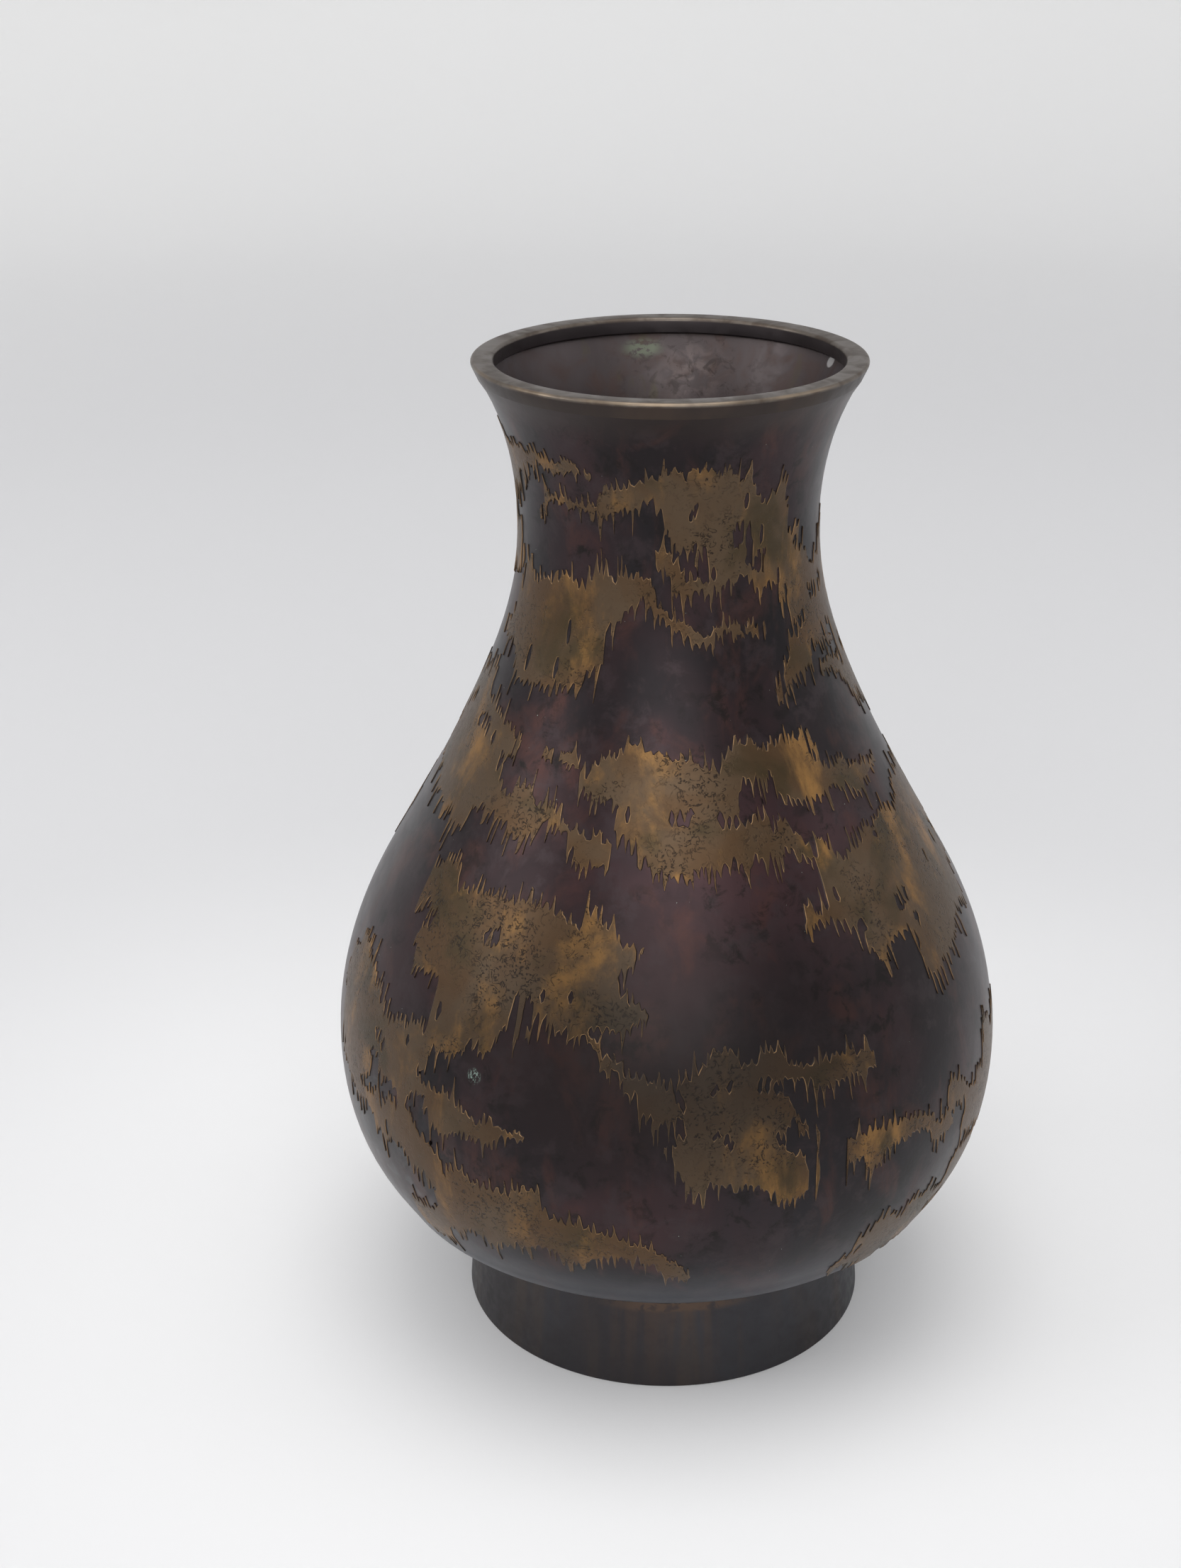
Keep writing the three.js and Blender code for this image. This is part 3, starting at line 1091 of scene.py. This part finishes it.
def buildBody():
    tree = edgeTree()
    vertices, triangles, barrier, borders = skinTriangles(tree)
    inside = insideClouds(triangles, barrier, vertices)
    bottomRing, topRing, leftSeam, rightSeam = borders
    same = np.arange(len(vertices)) # the two borders up the back are one line
    same[rightSeam] = leftSeam

    sides = set()
    inCloud = np.zeros(len(vertices), bool)
    for face, within in zip(triangles, inside):
        if within:
            corners = [int(same[v]) for v in face]
            inCloud[corners] = True
            sides.update(sidesOf(corners))
    cloudSides = sorted(pair for pair in sides if (pair[1], pair[0]) not in sides)
    edgePoints, raised, outward = drawnIn(vertices, cloudSides, tree)
    upper = {v: len(vertices) + k for k, v in enumerate(edgePoints)}
    inCloud[edgePoints] = False

    turn, along = vertices[:, 0], vertices[:, 1]
    ends = np.minimum(along, skinLength - along)
    lift = -body["relief"] * mm * np.clip(ends / (body["endFade"] * mm), 0, 1) * ~inCloud
    places = np.concatenate([vertices, raised])
    lift = np.concatenate([lift, np.zeros(len(raised))])
    points = skinPoints(places[:, 0], places[:, 1], lift)
    normals = skinNormals(places[:, 0], places[:, 1])
    cloud = np.concatenate([inCloud.astype(float), np.ones(len(raised))])
    same = np.concatenate([same, np.arange(len(vertices), len(points))])
    skinShare = 0.6 # of the height of the UV map
    acrossUv = (places[:, 0] + math.pi) / fullTurn
    flatUv = np.stack([acrossUv, places[:, 1] / skinLength * (skinShare - 0.02)], axis=1)

    def cornerUvs(corners):
        found = flatUv[corners].copy()
        if np.ptp(found[:, 0]) > 0.5:
            found[found[:, 0] < 0.5, 0] += 1
        return found

    faces, faceNormals, uvs = [], [], []
    for face, within in zip(triangles, inside):
        corners = [upper.get(int(same[v]), v) if within else v for v in face]
        faces.append([same[v] for v in corners])
        faceNormals.extend(normals[corners])
        uvs.extend(cornerUvs(corners))
    footTilt, topTilt = 0.8, 0.45 # how far a slope's normals lean out at its foot and its top
    outwardOf = dict(zip(edgePoints, outward))
    for a, b in cloudSides:
        corners = [a, b, upper[b], upper[a]]
        faces.append(corners)
        for v, tilt in ((a, footTilt), (b, footTilt), (b, topTilt), (a, topTilt)):
            acrossTurn = np.array([math.cos(turn[v]), math.sin(turn[v]), 0.0])
            up = np.cross(normals[v], acrossTurn)
            away = acrossTurn * outwardOf[v][0] + up * outwardOf[v][1]
            tilted = normals[v] + tilt * away
            faceNormals.append(tilted / np.linalg.norm(tilted))
        uvs.extend(cornerUvs(corners))
    skinFaces = len(faces)

    # Square top edge, inner wall, floor and the opening in the bottom
    ringTurns = np.linspace(-math.pi, math.pi, sidesRound + 1)[:-1]
    rings = [roundPoints(ringTurns, radius, height) for radius, height in innerRings()]
    starts = [len(points) + k * sidesRound for k in range(len(rings))]
    rows = [topRing[:-1], *(range(start, start + sidesRound) for start in starts), bottomRing[:-1]]
    wallFaces, wallUvs = ringFaces(rows, np.linspace(skinShare, 1.0, len(rows)))
    faces.extend(wallFaces)
    uvs.extend(wallUvs)
    faceNormals.extend([(0.0, 0.0, 0.0)] * (4 * len(wallFaces)))
    points = np.concatenate([points, *rings])
    cloud = np.concatenate([cloud, np.zeros(len(rings) * sidesRound)])

    used = sorted({int(v) for face in faces for v in face})
    renumber = {v: k for k, v in enumerate(used)}
    faces = [[renumber[int(v)] for v in face] for face in faces]
    made = finishMesh("vase_body", points[used], faces, uvs, patinatedBronze(), 30)
    mesh = made.data
    mesh.materials.append(insidePatina())
    mesh.polygons.foreach_set("material_index", [0] * skinFaces + [1] * len(wallFaces))
    attribute = mesh.attributes.new("cloud", "FLOAT", "POINT")
    attribute.data.foreach_set("value", cloud[used].astype(np.float32))
    mesh.normals_split_custom_set([tuple(n) for n in faceNormals])
    print("body:", len(used), "points,", len(faces), "faces,", sum(inside), "triangles in clouds")
    return made


vaseBody = buildBody()
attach(vaseBody, "root")
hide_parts("body_shell")


# Lip: a thick turned ring, rubbed bright along its outer edge, with a painted highlight on that
# edge that is strongest at the front
lip = {
    "taupe": (109, 101, 93),
    "umber": (84, 74, 66),
    "face": (57, 50, 47),
    "rubbed": (66, 56, 50),
    "inner": (76, 70, 71),
    "brassAndHighlight": (146, 130, 111),
    "landLayers": [("umber", 1.0, (0.38, 0.68), (6, 5, 0.6))],
    "faceLayers": [("rubbed", 1.0, (0.42, 0.62), (16, 3, 0.0, 0.55, 0.3))],
    # the outer face lies beyond these radii and further below the top than these depths
    "faceRadius": (44.1, 45.2),
    "faceDepth": (1.2, 0.6),
    # and the inner face, darkened as painted shade, inside these
    "innerRadius": (42.8, 43.6),
    "innerDepth": (1.1, 0.5),
    # the bright line along the outer edge, worn brass and partly a painted highlight: how far in
    # from it and how far below the top it fades
    "brassIn": (0.96, 0.48),
    "brassDown": (0.72, 0.42),
    # painted highlight: the bright line is strongest round this point at the front
    "paintedHighlightAt": ((-8, -47, 260), 78), # it is strongest here
    "metallic": 0.85,
}


# 0 further than the first distance in from an edge, easing to 1 at the second, or as given
def fromEdge(value, edge, distances, outLow=0.0, outHigh=1.0):
    return spread(value, *(edge - distance * mm for distance in distances), outLow, outHigh)


def lipFinish():
    newFinish("rubbed lip bronze")
    radius, height, high = axisDistance(), heightUp(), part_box("mouth_ring")[1]
    mottle = grain(6, 5, 0.6)
    tint = mottled(lip, "landLayers", lip["taupe"])
    face = mottled(lip, "faceLayers", lip["face"])
    faceDepth, innerDepth = (
        fromEdge(height, high.z, lip[depth], 1.0, 0.0) for depth in ("faceDepth", "innerDepth")
    )
    tint = blend(product(faceDepth, rise(radius, *lip["faceRadius"])), tint, face)
    # painted shade: the lip's inner face is darker
    tint = blend(product(innerDepth, fall(radius, *lip["innerRadius"])), tint, lip["inner"])
    # worn brass along the outer edge, made strongest at the front as a painted highlight
    edge = product(
        fromEdge(radius, high.x, lip["brassIn"]),
        fromEdge(height, high.z, lip["brassDown"]),
        spread(grain(16, 3, squash=0.3), 0.36, 0.6, 0.1, 1.0),
        spread(near(*lip["paintedHighlightAt"]), 0.05, 0.75, 0.2, 0.9),
    )
    tint = blend(edge, tint, lip["brassAndHighlight"])
    surface = relief(grain(0.8, 3), 0.01, relief(grain(6, 2), 0.03))
    return finished(tint, lip["metallic"], spread(mottle, 0.3, 0.7, 0.32, 0.44), surface)


mouthRing = turnedMesh("mouth_lip", cutOutline("mouth_ring"), lipFinish())
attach(mouthRing, "root")
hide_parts("mouth_ring")
print("lip made")


# Foot: a plain flared ring with faint upright streaks
foot = {
    "charcoal": (55, 52, 54),
    "brown": (74, 64, 58),
    "blueGrey": (60, 60, 64),
    "stain": (88, 71, 60),
    "stripe": (84, 67, 56), # brown runs below the stain
    "layers": [
        ("blueGrey", 1.0, (0.4, 0.7), (40, 4, 0.3)),
        ("brown", 0.7, (0.5, 0.72), (14, 4, 0.2, 0.55, 0.1)),
    ],
    "stripes": [("stripe", ((4, -52, 25), 38), 0.5, (0.44, 0.66), (5, 4, 0.4, 0.55, 0.06))],
    "stainAt": ((4, -52, 25), 26),
    "stainHeight": (21.6, 23.2), # it covers the foot above these heights
    "lastLayers": [("charcoal", 0.25, (0.5, 0.7), (3, 5, 0.4))],
    "metallic": 0.7,
}


def footFinish():
    newFinish("matt foot bronze")
    mottle = grain(3, 5, 0.4)
    tint = mottled(foot, "layers", foot["charcoal"])
    tint = spotted(foot, "stripes", tint)
    stain = product(
        rise(raggedHeight(mottle, 3), *foot["stainHeight"]),
        near(*foot["stainAt"]),
        spread(mottle, 0.5, 0.6, 1.3, 0.2),
    )
    tint = blend(sums("MINIMUM", stain, 0.9), tint, foot["stain"])
    tint = mottled(foot, "lastLayers", tint)
    rough = spread(mottle, 0.3, 0.7, 0.46, 0.58)
    return finished(tint, foot["metallic"], rough, relief(mottle, 0.03))


footRing = turnedMesh("foot", cutOutline("foot_ring"), footFinish())
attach(footRing, "root")
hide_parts("foot_ring")
print("foot made")


# Base plate: turned marks round the middle
plate = {
    "brown": (82, 70, 60),
    "dark": (50, 43, 39),
    "layers": [("dark", 1.0, (0.35, 0.7), (18, 6, 0.2))],
    "markSpacing": 1.3,
    "metallic": 0.7,
}


def plateFinish():
    newFinish("turned base plate bronze")
    mottle = grain(18, 6, 0.2)
    tint = mottled(plate, "layers", plate["brown"])
    marks = sums("SINE", product(axisDistance(), fullTurn / (plate["markSpacing"] * mm)))
    tint = blend(spread(marks, 0.2, 1.0, 0.0, 0.25), tint, plate["dark"])
    rough = spread(mottle, 0.3, 0.7, 0.42, 0.62)
    return finished(tint, plate["metallic"], rough, relief(marks, 0.03, relief(mottle, 0.05)))


basePlate = turnedMesh("base_plate_dressed", cutOutline("base_plate"), plateFinish())
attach(basePlate, "root")
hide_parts("base_plate")
print("base plate made")


# Solder: a lumpy bead that fills the corner in places and thins out in others
solder = {
    "brown": (96, 77, 64),
    "mark": (40, 33, 31),
    "dark": (54, 50, 51),
    "bareAt": ((9, -54, 27), 24), # here it is always bare
    "metallic": 0.4,
    "roughness": 0.6,
    "lumps": 70,
    "thinnest": 0.62,
}


def solderFinish():
    newFinish("old solder")
    mottle = grain(1.8, 3, 0.6)
    bare = blend(spread(mottle, 0.46, 0.54), solder["brown"], solder["mark"])
    patches = spread(grain(16, 2), 0.56, 0.64)
    where = sums("ADD", product(near(*solder["bareAt"]), 2.0), patches)
    tint = blend(where, solder["dark"], bare)
    return finished(tint, solder["metallic"], solder["roughness"], relief(mottle, 0.15))


solderOutline = cutOutline("solder_seam")
cornerPoint = np.array(min(solderOutline, key=lambda corner: corner[0] - corner[1]))
knots = rng.random(solder["lumps"])
lumpTurns = np.arange(solder["lumps"] + 1) * fullTurn / solder["lumps"]


# Draws each ring of the bead in towards its corner by an uneven share
def lumpyRing(turns, ring):
    full = np.interp(turns, lumpTurns, np.append(knots, knots[0]))
    share = solder["thinnest"] + (1 - solder["thinnest"]) * full
    radius = np.hypot(ring[:, 0], ring[:, 1])
    newRadius = cornerPoint[0] + (radius - cornerPoint[0]) * share
    newHeight = cornerPoint[1] + (ring[:, 2] - cornerPoint[1]) * share
    return roundPoints(turns, newRadius, newHeight)


solderSeam = turnedMesh("solder_bead", solderOutline, solderFinish(), lumpyRing)
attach(solderSeam, "root")
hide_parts("solder_seam")
print("solder made")


# Floor and backdrop: one pale sweep all round, with the slight shade of a light tent painted on it
stage = {
    "floorRings": (1500, 1000, 500, 200, 60), # the first is where the floor bends up
    "bendRadius": 800,
    "bendSteps": 12,
    "wallHeight": 2600,
    "sides": 96,
    "floor": (244, 244, 244),
    # painted shade: the floor duller where it runs back, and the wall duller further up
    "far": (217, 217, 218), # where the floor runs back
    "farFrom": (60, 360), # distances from the axis over which it does
    "wall": (241, 241, 240),
    "wallFrom": (900, 2100),
    "high": (206, 206, 207), # the wall further up
    "highFrom": (150, 600),
    # painted shade on the right side of the sweep
    "rightShadeAt": ((2000, 900, 0), 2600), # the right side is a little duller too
    "rightShadeShare": 0.5,
    # painted shade below the front and left boxes, which dims the pools where their light is
    # strongest
    "lampPoolShade": (211, 211, 212),
    "lampPoolShadeAt": [((0, -1700, 0), 1500), ((-1750, -500, 0), 1500)],
    "lampPoolShadeShare": 1.6, # over 1, so that it covers the middle wholly
}


def sweepFinish():
    newFinish("pale sweep")
    nodes = bench["tree"].nodes
    nodes.remove(nodes["Principled BSDF"])
    distance = axisDistance()
    tint = blend(rise(distance, *stage["farFrom"]), stage["floor"], stage["far"])
    tint = blend(rise(distance, *stage["wallFrom"]), tint, stage["wall"])
    tint = blend(rise(heightUp(), *stage["highFrom"]), tint, stage["high"])
    # painted shade on the right side
    rightShade = product(near(*stage["rightShadeAt"]), stage["rightShadeShare"])
    tint = blend(rightShade, tint, stage["high"])
    # painted shade that dims the pools of light below the front and left boxes
    for place in stage["lampPoolShadeAt"]:
        tint = blend(product(near(*place), stage["lampPoolShadeShare"]), tint, stage["lampPoolShade"])
    plug(nodes["Material Output"].inputs["Surface"], addNode("BsdfDiffuse", {0: tint}).outputs[0])
    return bench["material"]


# From the top of the wall down and in to the middle of the floor
floorEdge, bendRadius = stage["floorRings"][0], stage["bendRadius"]
sweepOutline = [(floorEdge + bendRadius, stage["wallHeight"])]
for k in range(stage["bendSteps"], 0, -1):
    angle = math.pi / 2 * k / stage["bendSteps"]
    bendPoint = floorEdge + bendRadius * math.sin(angle), bendRadius * (1 - math.cos(angle))
    sweepOutline.append(bendPoint)
sweepOutline += [(radius, 0.0) for radius in (*stage["floorRings"], 0.0)]
sweepOutline = np.array(sweepOutline) * mm
turnedMesh("sweep", sweepOutline, sweepFinish(), sides=stage["sides"])

# Lamps: broad soft boxes, name: (place, width, length, power in watts)
lamps = {
    "overhead box": ((0, -350, 2100), 1200, 1500, 10.5),
    "front box": ((0, -1800, 1000), 1500, 1000, 10.5),
    "left box": ((-1700, -500, 1100), 1200, 1000, 9),
    "right box": ((1800, 100, 1100), 1200, 1000, 3.4),
}
lampAim = Vector((0, 0, 0.12))
for name, (spot, width, length, power) in lamps.items():
    light = bpy.data.lights.new(name, "AREA")
    light.shape = "RECTANGLE"
    light.size, light.size_y = width * mm, length * mm
    light.energy = power
    lamp = linked(name, light)
    lamp.location = [value * mm for value in spot]
    lamp.rotation_euler = (lampAim - lamp.location).to_track_quat("-Z", "Y").to_euler()

room = {"colour": (231, 231, 232), "strength": 1.13}
world = bpy.data.worlds.new("soft room")
world.use_nodes = True
background = world.node_tree.nodes["Background"]
background.inputs["Color"].default_value = colour(room["colour"])
background.inputs["Strength"].default_value = room["strength"]
bpy.context.scene.world = world
print("stage lit")

# Camera: above and in front, looking down on the vase
view = {
    "place": (0, -567.1, 389.5),
    "turn": 1.98,
    "down": 23.04,
    "roll": -0.36,
    "lens": 54.83,
    "sensor": 36,
}
camera = linked("camera", bpy.data.cameras.new("camera"))
camera.data.lens = view["lens"]
camera.data.sensor_width = view["sensor"]
camera.matrix_world = (
    Matrix.Translation([value * mm for value in view["place"]])
    @ Matrix.Rotation(math.radians(view["turn"]), 4, "Z")
    @ Matrix.Rotation(math.radians(90 - view["down"]), 4, "X")
    @ Matrix.Rotation(math.radians(view["roll"]), 4, "Z")
)
bpy.context.scene.camera = camera
bpy.context.scene.view_settings.view_transform = "Standard"
